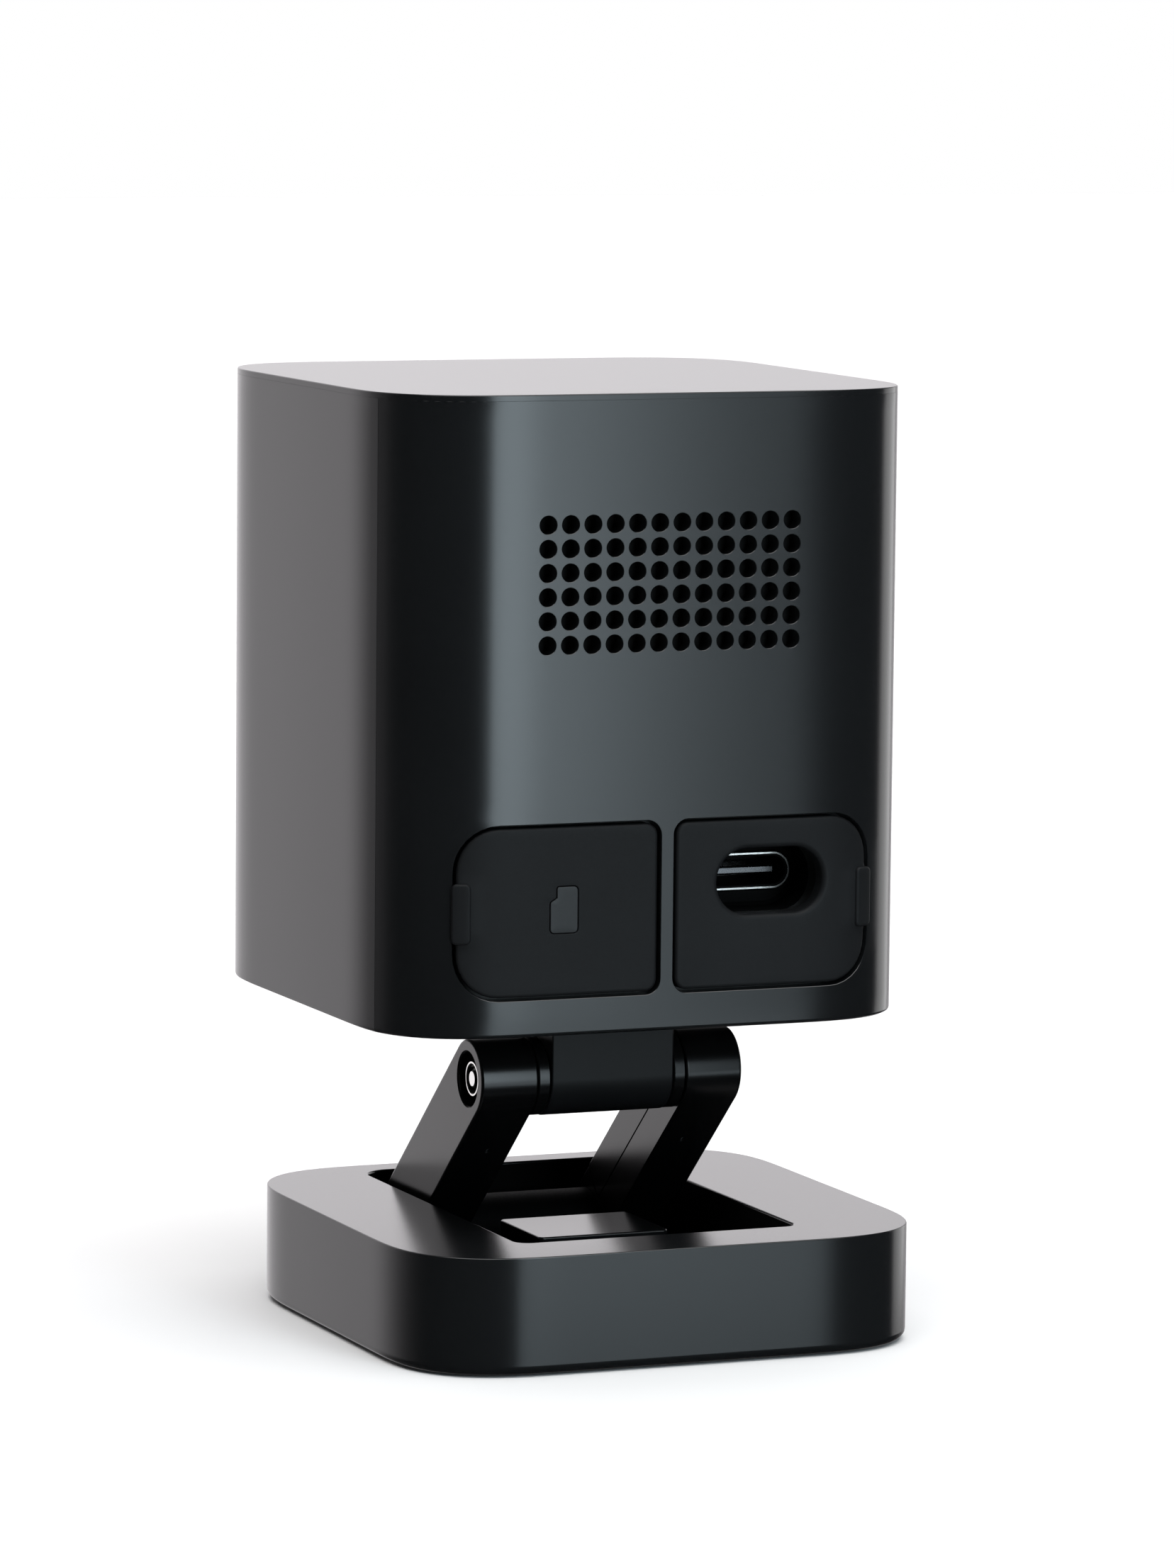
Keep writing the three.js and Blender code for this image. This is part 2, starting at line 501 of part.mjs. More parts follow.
// Speaker, sockets, switch and antennas behind the rear cover.
function addElectronics(head) {
  const z = GRILLE.z;
  const cone = cut(
    alongY(stadium(21, 8.4, 0, z), 17.6, 19.8),
    alongY(stadium(17, 4.4, 0, z), 18.8, 21),
  );
  const basket = cut(
    union(
      alongY(rectangle(28, 15, 2, 0, z), 19, 21, 1),
      alongY(rectangle(25, 12, 2, 0, z), 13.4, 19.4, 1),
    ),
    alongY(stadium(22, 9.4, 0, z), 17.2, 22),
    alongY(disc(4, 0, z), 15, 22, BORE),
  );
  piece("speaker_basket", basket, BLACK, head);
  piece("speaker_cone", cone, CLOTH, head);
  piece("speaker_cloth", alongY(rectangle(26, 13, 1, 0, z), 21.15, 21.5, 1), CLOTH, head);

  piece("io_board", block(-18.4, 18.4, 3.4, 16.4, 9.25, 10.25), BOARD, head);
  const shellHole = stadium(USB.shellW - 0.6, USB.shellH - 0.6, USB.x, USB.z);
  const usbShell = cut(
    alongY(stadium(USB.shellW, USB.shellH, USB.x, USB.z), USB.mouth - 7.3, USB.mouth),
    alongY(shellHole, USB.mouth - 6.3, USB.mouth + 1),
  );
  piece("usb_c_shell", usbShell, STEEL, head);
  const tongueX = [USB.x - 3.3, USB.x + 3.3];
  const tongue = block(...tongueX, USB.mouth - 6.2, USB.mouth - 0.7, USB.z - 0.35, USB.z + 0.35);
  piece("usb_c_tongue", tongue, BLACK, head);
  const tunnel = cut(
    alongY(stadium(USB.holeW + 2.6, USB.holeH + 2.6, USB.x, USB.z), 15.9, 20.05),
    alongY(stadium(USB.holeW, USB.holeH, USB.x, USB.z), 16.9, 21),
    alongY(stadium(USB.shellW + 0.3, USB.shellH + 0.3, USB.x, USB.z), 15, 21),
    block(-20, 0, 15, 16.5, 7, 10.35),
  );
  piece("usb_tunnel", tunnel, RUBBER, head);

  const { x, width, height } = CARD;
  const socket = cut(
    block(x - width / 2, x + width / 2, 6, 19.5, CARD.z - height / 2, CARD.z + height / 2),
    block(x - 5.5, x + 5.5, 7, 21, CARD.z - 0.5, CARD.z + 0.5),
  );
  piece("microsd_socket", socket, STEEL, head);
  const switchBack = RESET.end - 5.2;
  const switchBody = block(RESET.x - 1.8, RESET.x + 1.8, switchBack - 2.4, switchBack, 10.35, 13.6);
  piece("reset_switch", switchBody, BLACK, head);
  const stem = solid(
    turned(
      [[0, 0], [RESET.r, 0], [RESET.r, 1.2], [1.5, 1.2], [1.5, 2], [RESET.r, 2], [RESET.r, 4.6], [0, 4.6]],
      2 * SMALL,
    ),
  );
  piece("reset_button", stem, RUBBER, head, RESET.x, RESET.end, RESET.z).rotation.x = Math.PI / 2;

  for (const [side, name] of [[1, "wifi_antenna_left"], [-1, "wifi_antenna_right"]]) {
    const [x0, x1] = side > 0 ? [21.2, 21.5] : [-21.5, -21.2];
    const meander = cut(
      block(x0, x1, -13, 9, 36, 46),
      ...[-9, -1].map((y) => block(-30, 30, y, y + 2, 38, 47)),
      ...[-5, 3].map((y) => block(-30, 30, y, y + 2, 35, 44)),
    );
    piece(name, meander, COPPER, head);
  }
}

addBase();
addBracket();
const head = new THREE.Group();
head.position.set(0, HIGH_AXIS.y - LUG_Y, HIGH_AXIS.z + HEAD_RISE);
camera.add(head);
addHousing(head);
addOptics(head);
addElectronics(head);

export default camera;
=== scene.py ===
import json
import math

import bmesh
import bpy
from mathutils import Matrix, Vector
from mathutils.geometry import delaunay_2d_cdt


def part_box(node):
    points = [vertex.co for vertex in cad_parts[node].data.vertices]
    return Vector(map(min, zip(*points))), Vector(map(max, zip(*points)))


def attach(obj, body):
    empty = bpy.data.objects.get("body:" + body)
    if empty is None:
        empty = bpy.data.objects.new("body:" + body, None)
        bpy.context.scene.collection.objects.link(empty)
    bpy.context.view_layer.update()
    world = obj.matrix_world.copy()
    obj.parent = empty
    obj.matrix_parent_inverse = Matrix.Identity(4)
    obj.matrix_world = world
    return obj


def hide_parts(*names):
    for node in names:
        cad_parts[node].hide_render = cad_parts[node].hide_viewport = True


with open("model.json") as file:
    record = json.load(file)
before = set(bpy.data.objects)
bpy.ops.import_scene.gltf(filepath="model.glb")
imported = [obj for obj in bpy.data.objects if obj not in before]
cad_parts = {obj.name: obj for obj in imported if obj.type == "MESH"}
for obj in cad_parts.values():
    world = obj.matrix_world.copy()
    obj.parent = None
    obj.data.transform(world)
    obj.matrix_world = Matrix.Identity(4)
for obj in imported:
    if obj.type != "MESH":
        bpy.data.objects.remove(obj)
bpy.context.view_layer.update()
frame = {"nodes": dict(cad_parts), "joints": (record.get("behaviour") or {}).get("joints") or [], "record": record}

# ---- Dimensions in millimetres, in the frame's axes ---------------------------------------
MM = 0.001
HALF = 23.55  # half the head's side
HEAD_HEIGHT = 52.5
CORNER = 13.9  # how far the head's upright corners reach along each side
ROLL = 0.35  # radius of the head's lower edge
SEAM = 0.03  # gap between the rear shell and the main shell
HAIR = 0.008  # the finest edge and groove on the head
CAP_LINE = 51.99  # height of the groove under the top plate
SHELL = 1.7  # thickness of the head's wall
GRILLE = {"rows": 6, "columns": 12, "pitch": 1.965, "radius": 0.76, "z": 37}
BAY = {"x0": 0.55, "x1": 18.55, "z0": 3.05, "z1": 17.5, "inner": 1.3, "outer": 3.9}
USB = {"x": -9.35, "z": 12.05, "mouth": 17.2}
TAB = {"wide": 1.6, "z0": 7.8, "z1": 12.8}
CARD_SLOT = {"x0": 5.4, "x1": 16.6, "z0": 10.6, "z1": 12.0}
BUTTON = {"x": 2.85, "z": 11.9}
WINDOW = {"half": 14.5, "z0": 5.5, "z1": 47.5, "corner": 5.5}
LENS_Z = 31
CASE_SCREWS = [
    ("case_screw_1", -19.4, -14),
    ("case_screw_4", -19.4, 12.6),
    ("case_screw_2", 19.4, -14),
    ("case_screw_3", 19.4, 12.6),
]
LINK = 24.7  # between the bracket's two axes
ARM = {"r": 3.35, "inner": 6.75, "outer": 11.8}
PIN_BORE = {"low": 1.4, "high": 1.6}
BASE = {"half": 23, "corner": 14.2, "foot": 0.12, "top": 9.85}
POCKET = {"half": 12.5, "front": -20.2, "back": 16.6, "floor": 1.5}

lid_low, lid_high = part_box("top_cap")
HEAD_Y = (lid_low.y + lid_high.y) / 2 / MM
HEAD_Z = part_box("main_housing")[0].z / MM
joints = {joint["name"]: joint for joint in frame["joints"]}
LOW = Vector(joints["stand_fold"]["pos_m"]) / MM
HIGH = Vector(joints["head_tilt"]["pos_m"]) / MM
RISE = math.atan2(HIGH.z - LOW.z, HIGH.y - LOW.y)


# ---- Outlines -----------------------------------------------------------------------------
def soft_angle(t):
    """The angle turned at t of the way round a soft corner."""
    return math.pi / 2 * (t - math.sin(2 * math.pi * t) / (2 * math.pi))


def soft_corner(steps=240):
    """A quarter turn whose curvature grows and fades smoothly, as (along, inwards, angle)."""
    run = [(0.0, 0.0, 0.0)]
    along = inward = 0.0
    for k in range(steps):
        angle = soft_angle((k + 0.5) / steps)
        along += math.cos(angle)
        inward += math.sin(angle)
        run.append((along, inward, soft_angle((k + 1) / steps)))
    return [(a / along, b / inward, angle) for a, b, angle in run], steps / along


SOFT, SOFT_LENGTH = soft_corner()


def on_corner(t):
    """A point on the soft corner, t of the way round, and the angle turned so far."""
    place = min(max(t, 0.0), 1.0) * (len(SOFT) - 1)
    k = min(int(place), len(SOFT) - 2)
    rest = place - k
    return [SOFT[k][i] * (1 - rest) + SOFT[k + 1][i] * rest for i in range(3)]


def soft_square(half, reach, y=0.0, arc=24):
    """A square with soft corners, centred at (0, y), as a function of how far it is grown."""

    def grown(grow=0.0):
        loop = []
        for turn in (3, 0, 1, 2):
            for k in range(arc + 1):
                along, inward, angle = on_corner(k / arc)
                px = half - reach + reach * along + grow * math.sin(angle)
                py = half - reach * inward + grow * math.cos(angle)
                for _ in range(turn):
                    px, py = py, -px
                loop.append((px, y + py))
        return loop[::-1]

    return grown


def outline(points, radii, grow=0.0, arc=6, step=0.0):
    """An anticlockwise polygon with rounded corners, grown outwards, always of as many points."""
    count = len(points)
    corners = []
    for i, point in enumerate(points):
        here = Vector(point)
        before = (here - Vector(points[i - 1])).normalized()
        after = (Vector(points[(i + 1) % count]) - here).normalized()
        n0 = Vector((before.y, -before.x))
        n1 = Vector((after.y, -after.x))
        turn = math.atan2(before.cross(after), before.dot(after))
        side = 1 if turn > 0 else -1
        radius = max(radii[i] + side * grow, 0.01)
        moved = here + grow * (n0 + n1) / (1 + n0.dot(n1))
        reach = radius * math.tan(abs(turn) / 2)
        centre = moved - before * reach - n0 * radius * side
        run = []
        for k in range(arc + 1):
            spoke = n0.copy()
            spoke.rotate(Matrix.Rotation(turn * k / arc, 2))
            run.append(centre + spoke * radius * side)
        corners.append(run)
    loop = []
    for i, run in enumerate(corners):
        loop += run
        length = (Vector(points[(i + 1) % count]) - Vector(points[i])).length
        parts = max(1, round(length / step)) if step else 1
        nearest = corners[(i + 1) % count][0]
        loop += [run[-1].lerp(nearest, k / parts) for k in range(1, parts)]
    return [(p.x, p.y) for p in loop]


def box_points(x0, x1, y0, y1):
    return [(x0, y0), (x1, y0), (x1, y1), (x0, y1)]


def rounded(x0, x1, y0, y1, radii, arc=6, step=0.0):
    """A rounded rectangle as a function of how far it is grown."""
    if not isinstance(radii, (list, tuple)):
        radii = [radii] * 4
    return lambda grow=0.0: outline(box_points(x0, x1, y0, y1), radii, grow, arc, step)


def stadium(x, y, width, height, arc=10):
    radius = min(width, height) / 2 - 0.01
    return rounded(x - width / 2, x + width / 2, y - height / 2, y + height / 2, radius, arc)


def circle(x, y, radius, count=20):
    angles = [2 * math.pi * k / count for k in range(count)]

    def grown(grow=0.0):
        r = radius + grow
        return [(x + r * math.cos(a), y + r * math.sin(a)) for a in angles]

    return grown


def spread(low, high, pitch):
    """Even steps from low to high, none longer than pitch."""
    parts = max(1, math.ceil((high - low) / pitch))
    return [low + (high - low) * k / parts for k in range(parts + 1)]


def patch(us, vs):
    """The outline of a whole grid, as a function of how far it is grown."""

    def grown(grow=0.0):
        wide = [us[0] - grow] + us[1:-1] + [us[-1] + grow]
        tall = [vs[0] - grow] + vs[1:-1] + [vs[-1] + grow]
        loop = [(u, tall[0]) for u in wide[:-1]]
        loop += [(wide[-1], v) for v in tall[:-1]]
        loop += [(u, tall[-1]) for u in wide[:0:-1]]
        loop += [(wide[0], v) for v in tall[:0:-1]]
        return loop

    return grown


def inside(point, loop):
    """Whether a point lies within a loop."""
    x, y = point
    hit = False
    for k, (x1, y1) in enumerate(loop):
        x0, y0 = loop[k - 1]
        if (y0 > y) != (y1 > y) and x < x0 + (x1 - x0) * (y - y0) / (y1 - y0):
            hit = not hit
    return hit


def box_around(loop):
    """A loop's extents, with the loop itself, for a quick test."""
    xs = [p[0] for p in loop]
    ys = [p[1] for p in loop]
    return min(xs), max(xs), min(ys), max(ys), loop


def in_any(point, boxes):
    u, v = point
    near = [box[4] for box in boxes if box[0] < u < box[1] and box[2] < v < box[3]]
    return any(inside(point, loop) for loop in near)


# ---- Meshes -------------------------------------------------------------------------------
def object_from(name, bm, smooth=35):
    bmesh.ops.recalc_face_normals(bm, faces=bm.faces)
    mesh = bpy.data.meshes.new(name)
    bm.to_mesh(mesh)
    bm.free()
    obj = bpy.data.objects.new(name, mesh)
    bpy.context.scene.collection.objects.link(obj)
    shade(obj, smooth)
    return obj


def shade(obj, smooth=35):
    obj.data.shade_smooth()
    obj.data.set_sharp_from_angle(angle=math.radians(smooth))


def join_rings(bm, rings, closed):
    count = len(rings[0])
    pairs = list(zip(rings, rings[1:]))
    if closed:
        pairs.append((rings[-1], rings[0]))
    for low, high in pairs:
        for k in range(count):
            j = (k + 1) % count
            bm.faces.new((low[k], low[j], high[j], high[k]))


def loft(name, rings, closed=False):
    """A skin over outlines of as many points, in millimetres, capped or closed into a ring."""
    bm = bmesh.new()
    made = [[bm.verts.new(Vector(p) * MM) for p in ring] for ring in rings]
    join_rings(bm, made, closed)
    if not closed:
        bm.faces.new(made[0])
        bm.faces.new(made[-1])
    return object_from(name, bm)


def turned(name, profile, centre, axis, closed=False, steps=48):
    """A lathed piece. The profile is (radius, distance along the axis), in millimetres."""
    turn = Vector((0, 0, 1)).rotation_difference(Vector(axis)).to_matrix()
    origin = Vector(centre)
    bm = bmesh.new()
    rings = []
    for radius, along in profile:
        count = 1 if radius == 0 else steps
        ring = []
        for k in range(count):
            angle = 2 * math.pi * k / steps
            local = Vector((radius * math.cos(angle), radius * math.sin(angle), along))
            ring.append(bm.verts.new((origin + turn @ local) * MM))
        rings.append(ring)
    pairs = list(zip(rings, rings[1:]))
    if closed:
        pairs.append((rings[-1], rings[0]))
    for low, high in pairs:
        for k in range(steps):
            j = (k + 1) % steps
            corners = [low[k % len(low)], low[j % len(low)]]
            corners += [high[j % len(high)], high[k % len(high)]]
            bm.faces.new(list(dict.fromkeys(corners)))
    return object_from(name, bm)


def fill(loops, between):
    """Triangles within the first loop and clear of the others, by way of the points between."""
    flat = [p for loop in loops for p in loop] + between
    edges = []
    for loop in loops:
        start = len(edges)
        edges += [(start + k, start + (k + 1) % len(loop)) for k in range(len(loop))]
    made = delaunay_2d_cdt([Vector(p) for p in flat], edges, [], 0, 1e-7)
    points, origins = made[0], made[3]
    voids = [box_around(loop) for loop in loops[1:]]
    faces = []
    for face in made[2]:
        middle = sum((points[k] for k in face), Vector((0, 0))) / len(face)
        if inside(middle, loops[0]) and not in_any(middle, voids):
            faces.append(face)
    place_of = {source: k for k, sources in enumerate(origins) for source in sources}
    return points, faces, place_of


def panel(name, place, outer, holes, us, vs, thick, edge, lift=None, steps=4, lip=None):
    """A plate with rounded edges and holes. place(u, v, depth) is a point in millimetres."""
    lift = lift or (lambda u, v: 0.0)
    lip = lip or edge
    rims = [(outer, -edge)] + [(hole, lip) for hole in holes]
    loops = [shape(reach) for shape, reach in rims]
    margin = 0.3 * min(us[1] - us[0], vs[len(vs) // 2 + 1] - vs[len(vs) // 2])
    fence = outer(-edge - margin)
    boxes = [box_around(hole(lip + margin)) for hole in holes]
    between = []
    for u in us[1:-1]:
        for v in vs[1:-1]:
            if inside((u, v), fence) and not in_any((u, v), boxes):
                between.append((u, v))
    points, faces, place_of = fill(loops, between)
    bm = bmesh.new()
    front = [bm.verts.new(place(p.x, p.y, -lift(p.x, p.y)) * MM) for p in points]
    back_at = {k: (p.x, p.y) for k, p in enumerate(points)}
    start = 0
    for (shape, reach), loop in zip(rims, loops):
        for k, p in enumerate(shape(0)):
            back_at[place_of[start + k]] = p
        start += len(loop)
    deep = thick if callable(thick) else (lambda u, v: thick)
    back = [bm.verts.new(place(*back_at[k], deep(*back_at[k])) * MM) for k in range(len(points))]
    for face in faces:
        bm.faces.new([front[k] for k in face])
        bm.faces.new([back[k] for k in reversed(face)])
    start = 0
    for (shape, reach), loop in zip(rims, loops):
        ids = [place_of[start + k] for k in range(len(loop))]
        start += len(loop)
        rings = [[front[k] for k in ids]]
        for s in range(1, steps + 1):
            angle = math.pi / 2 * s / steps
            turned_in = shape(reach * (1 - math.sin(angle)))
            depth = abs(reach) * (1 - math.cos(angle))
            ring = [bm.verts.new(place(u, v, depth - lift(u, v)) * MM) for u, v in turned_in]
            rings.append(ring)
        rings.append([back[k] for k in ids])
        join_rings(bm, rings, False)
    return object_from(name, bm)


def carve(obj, *cutters):
    """Cuts each cutter out of obj, then throws the cutters away."""
    for cutter in cutters:
        modifier = obj.modifiers.new("cut", "BOOLEAN")
        modifier.operation = "DIFFERENCE"
        modifier.solver = "EXACT"
        modifier.object = cutter
    bpy.context.view_layer.update()
    graph = bpy.context.evaluated_depsgraph_get()
    made = bpy.data.meshes.new_from_object(obj.evaluated_get(graph))
    obj.modifiers.clear()
    obj.data = made
    shade(obj)
    for cutter in cutters:
        bpy.data.objects.remove(cutter)
    return obj


def finish(obj, material, body, nodes=()):
    """Gives a piece its material and its place in the frame."""
    obj.data.materials.clear()
    obj.data.materials.append(material)
    weighted = obj.modifiers.new("normals", "WEIGHTED_NORMAL")
    weighted.keep_sharp = True
    weighted.weight = 100
    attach(obj, body)
    if nodes:
        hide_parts(*nodes)
    return obj


def level(shape, z, grow=0.0):
    return [(x, y, z) for x, y in shape(grow)]


def bevel_rings(shape, z0, z1, low, high, steps=4):
    """Outlines for an upright prism with its lower and upper edges rounded."""
    rings = []
    for s in range(steps + 1):
        angle = math.pi / 2 * s / steps
        rings.append(level(shape, z0 + low * (1 - math.sin(angle)), -low * (1 - math.cos(angle))))
    rings = rings[::-1]
    for s in range(steps + 1):
        angle = math.pi / 2 * s / steps
        rings.append(level(shape, z1 - high * (1 - math.sin(angle)), -high * (1 - math.cos(angle))))
    return rings


def turn_rings(rings, matrix):
    """The same outlines, moved by a matrix."""
    return [[matrix @ Vector(p) for p in ring] for ring in rings]


# ---- Materials ----------------------------------------------------------------------------
def surface(name, dark, light, rough, mottle, grain, relief, metal=0.0, stretch=(1, 1, 1), gleam=0.5):
    """A moulded or machined finish: mottled colour and gloss, with a fine grain in relief."""
    material = bpy.data.materials.new(name)
    material.use_nodes = True
    nodes = material.node_tree.nodes
    link = material.node_tree.links.new
    shader = nodes["Principled BSDF"]
    shader.inputs["Metallic"].default_value = metal
    shader.inputs["Specular IOR Level"].default_value = gleam
    where = nodes.new("ShaderNodeTexCoord")
    squeeze = nodes.new("ShaderNodeMapping")
    squeeze.inputs["Scale"].default_value = stretch
    link(where.outputs["Object"], squeeze.inputs["Vector"])
    broad = nodes.new("ShaderNodeTexNoise")
    broad.inputs["Scale"].default_value = mottle
    broad.inputs["Detail"].default_value = 3
    link(squeeze.outputs["Vector"], broad.inputs["Vector"])
    fine = nodes.new("ShaderNodeTexNoise")
    fine.inputs["Scale"].default_value = grain
    fine.inputs["Detail"].default_value = 2
    link(squeeze.outputs["Vector"], fine.inputs["Vector"])
    ramp = nodes.new("ShaderNodeValToRGB")
    ramp.color_ramp.elements[0].position = 0.3
    ramp.color_ramp.elements[0].color = (*dark, 1)
    ramp.color_ramp.elements[1].position = 0.7
    ramp.color_ramp.elements[1].color = (*light, 1)
    link(broad.outputs["Fac"], ramp.inputs["Fac"])
    link(ramp.outputs["Color"], shader.inputs["Base Color"])
    gloss = nodes.new("ShaderNodeMapRange")
    gloss.inputs["From Min"].default_value = 0.3
    gloss.inputs["From Max"].default_value = 0.7
    gloss.inputs["To Min"].default_value = rough[0]
    gloss.inputs["To Max"].default_value = rough[1]
    link(fine.outputs["Fac"], gloss.inputs["Value"])
    link(gloss.outputs["Result"], shader.inputs["Roughness"])
    bump = nodes.new("ShaderNodeBump")
    bump.inputs["Strength"].default_value = relief
    bump.inputs["Distance"].default_value = 0.00002
    link(fine.outputs["Fac"], bump.inputs["Height"])
    link(bump.outputs["Normal"], shader.inputs["Normal"])
    return material


MATERIALS = {
    "shell": surface(
        "satin_graphite",
        dark=(0.0055, 0.006, 0.0065),
        light=(0.007, 0.0077, 0.0084),
        rough=(0.2, 0.225),
        mottle=40,
        grain=9000,
        relief=0.012,
    ),
    "rubber": surface(
        "soft_rubber",
        dark=(0.0055, 0.006, 0.0067),
        light=(0.0072, 0.008, 0.009),
        rough=(0.52, 0.6),
        mottle=60,
        grain=8000,
        relief=0.05,
        gleam=0.17,
    ),
    "dark_plastic": surface(
        "black_plastic",
        dark=(0.003, 0.003, 0.003),
        light=(0.006, 0.006, 0.006),
        rough=(0.42, 0.5),
        mottle=50,
        grain=8000,
        relief=0.05,
    ),
    "steel": surface(
        "turned_steel",
        dark=(0.4, 0.4, 0.41),
        light=(0.6, 0.6, 0.61),
        rough=(0.25, 0.38),
        mottle=80,
        grain=3000,
        relief=0.15,
        metal=1,
        stretch=(1, 1, 6),
    ),
    "nickel": surface(
        "bright_nickel",
        dark=(0.82, 0.81, 0.79),
        light=(0.92, 0.91, 0.89),
        rough=(0.22, 0.27),
        mottle=80,
        grain=4000,
        relief=0.04,
        metal=1,
    ),
    "window": surface(
        "tinted_window",
        dark=(0.0015, 0.0015, 0.002),
        light=(0.003, 0.003, 0.0035),
        rough=(0.04, 0.06),
        mottle=30,
        grain=3000,
        relief=0.0,
    ),
    "lens": surface(
        "coated_glass",
        dark=(0.004, 0.003, 0.012),
        light=(0.01, 0.006, 0.03),
        rough=(0.02, 0.04),
        mottle=60,
        grain=2000,
        relief=0.0,
    ),
    "lamp": surface(
        "lamp_lens",
        dark=(0.02, 0.004, 0.006),
        light=(0.05, 0.01, 0.014),
        rough=(0.1, 0.16),
        mottle=300,
        grain=3000,
        relief=0.02,
    ),
    "board": surface(
        "solder_mask",
        dark=(0.008, 0.06, 0.025),
        light=(0.014, 0.1, 0.045),
        rough=(0.3, 0.45),
        mottle=300,
        grain=4000,
        relief=0.2,
    ),
    "aluminium": surface(
        "extruded_aluminium",
        dark=(0.5, 0.51, 0.52),
        light=(0.66, 0.67, 0.68),
        rough=(0.3, 0.45),
        mottle=60,
        grain=3500,
        relief=0.2,
        metal=1,
        stretch=(1, 1, 8),
    ),
    "cloth": surface(
        "speaker_weave",
        dark=(0.002, 0.002, 0.002),
        light=(0.006, 0.006, 0.006),
        rough=(0.8, 0.95),
        mottle=900,
        grain=7000,
        relief=0.8,
    ),
    "copper": surface(
        "antenna_copper",
        dark=(0.55, 0.26, 0.14),
        light=(0.75, 0.4, 0.24),
        rough=(0.25, 0.4),
        mottle=200,
        grain=3000,
        relief=0.1,
        metal=1,
    ),
    "matte": surface(
        "matte_graphite",
        dark=(0.004, 0.0045, 0.005),
        light=(0.0055, 0.006, 0.0068),
        rough=(0.4, 0.46),
        mottle=40,
        grain=9000,
        relief=0.03,
        gleam=0.22,
    ),
    "black_satin": surface(
        "black_satin",
        dark=(0.0016, 0.0017, 0.0018),
        light=(0.0026, 0.0027, 0.0029),
        rough=(0.2, 0.23),
        mottle=40,
        grain=9000,
        relief=0.012,
    ),
    "tongue": surface(
        "tongue_metal",
        dark=(0.12, 0.12, 0.125),
        light=(0.16, 0.16, 0.168),
        rough=(0.25, 0.3),
        mottle=80,
        grain=4000,
        relief=0.02,
        metal=1,
    ),
    "symbol": surface(
        "symbol_rubber",
        dark=(0.011, 0.0125, 0.0135),
        light=(0.014, 0.0155, 0.017),
        rough=(0.44, 0.5),
        mottle=60,
        grain=8000,
        relief=0.05,
        gleam=0.35,
    ),
    # Painted shade: a near-black, dull finish given to recesses and hidden parts so that they render as the shade
    # falling in them, not in their own colour.
    "well": surface(
        "painted_shade_black",
        dark=(0.0008, 0.0008, 0.0009),
        light=(0.0014, 0.0014, 0.0015),
        rough=(0.62, 0.72),
        mottle=60,
        grain=6000,
        relief=0.1,
        gleam=0.08,
    ),
    "polished": surface(
        "polished_nickel",
        dark=(0.88, 0.87, 0.85),
        light=(0.95, 0.94, 0.92),
        rough=(0.05, 0.09),
        mottle=80,
        grain=4000,
        relief=0.03,
        metal=1,
    ),
}
SLOT_OF = {part["node"]: part["material_slot"] for part in frame["record"]["subparts"]}
for node, obj in frame["nodes"].items():
    for holder in obj.material_slots:
        holder.material = MATERIALS[SLOT_OF[node]]

# ---- The head's wall ----------------------------------------------------------------------
FLAT = HALF - CORNER
BEND = CORNER * SOFT_LENGTH
QUARTER = 2 * FLAT + BEND
ROLL_RUN = ROLL * math.pi / 2
GIRTH = 4 * QUARTER


def head_wall(u, v, depth):
    """u runs round the head from mid-back, towards +X; v runs up its profile from beneath."""
    turns = math.floor((u + FLAT) / QUARTER)
    run = u - turns * QUARTER
    x, y, nx, ny = run, HALF, 0.0, 1.0
    if run > FLAT:
        along, inward, angle = on_corner((run - FLAT) / BEND)
        nx, ny = math.sin(angle), math.cos(angle)
        x, y = FLAT + CORNER * along, HALF - CORNER * inward
    for _ in range(turns % 4):
        x, y, nx, ny = y, -x, ny, -nx
    inset, z, out, down = 0.0, v - ROLL_RUN + ROLL, 1.0, 0.0
    if v < ROLL_RUN:
        angle = v / ROLL
        inset, z = ROLL * (1 - math.sin(angle)), ROLL * (1 - math.cos(angle))
        out, down = math.sin(angle), math.cos(angle)
    shift = inset + depth * out
    return Vector((x - nx * shift, HEAD_Y + y - ny * shift, HEAD_Z + z + depth * down))


def run_until(reached):
    """The shortest way round the back of the head at which reached(point) holds."""
    low, high = 0.0, FLAT + BEND
    for _ in range(30):
        middle = (low + high) / 2
        low, high = (low, middle) if reached(head_wall(middle, 20, 0)) else (middle, high)
    return high


def height(z):
    """v on the upright part of the head's wall, for a height above its underside."""
    return z + ROLL_RUN - ROLL


def sunk(extra):
    return lambda u, v, depth: head_wall(u, v, depth + extra)


REAR_EDGE = run_until(lambda p: p.y - HEAD_Y < 16.86)
BAY_EDGE = run_until(lambda p: p.x > BAY["x1"])
WALL_TOP = height(CAP_LINE - HAIR / 2)
ROWS = spread(0, ROLL_RUN, 0.12) + spread(ROLL_RUN, WALL_TOP, 1.5)[1:]


def bay(side, grow=0.0):
    low, high = height(BAY["z0"]) - grow, height(BAY["z1"]) + grow
    near, far = BAY["x0"] - grow, BAY_EDGE + grow
    inner, outer = max(BAY["inner"] + grow, 0.1), BAY["outer"] + grow
    if side > 0:
        return rounded(near, far, low, high, [inner, outer, outer, inner], 8, 1.0)
    return rounded(-far, -near, low, high, [outer, inner, inner, outer], 8, 1.0)


def wall_part(name, u0, u1, holes, lip, node):
    """A stretch of the head's wall, from u0 to u1, with holes in it."""
    us = spread(u0, u1, 1.0)
    whole = patch(us, ROWS)
    shell = panel(name, head_wall, whole, holes, us, ROWS, SHELL, HAIR, steps=1, lip=lip)
    finish(shell, MATERIALS["shell"], "head", [node])


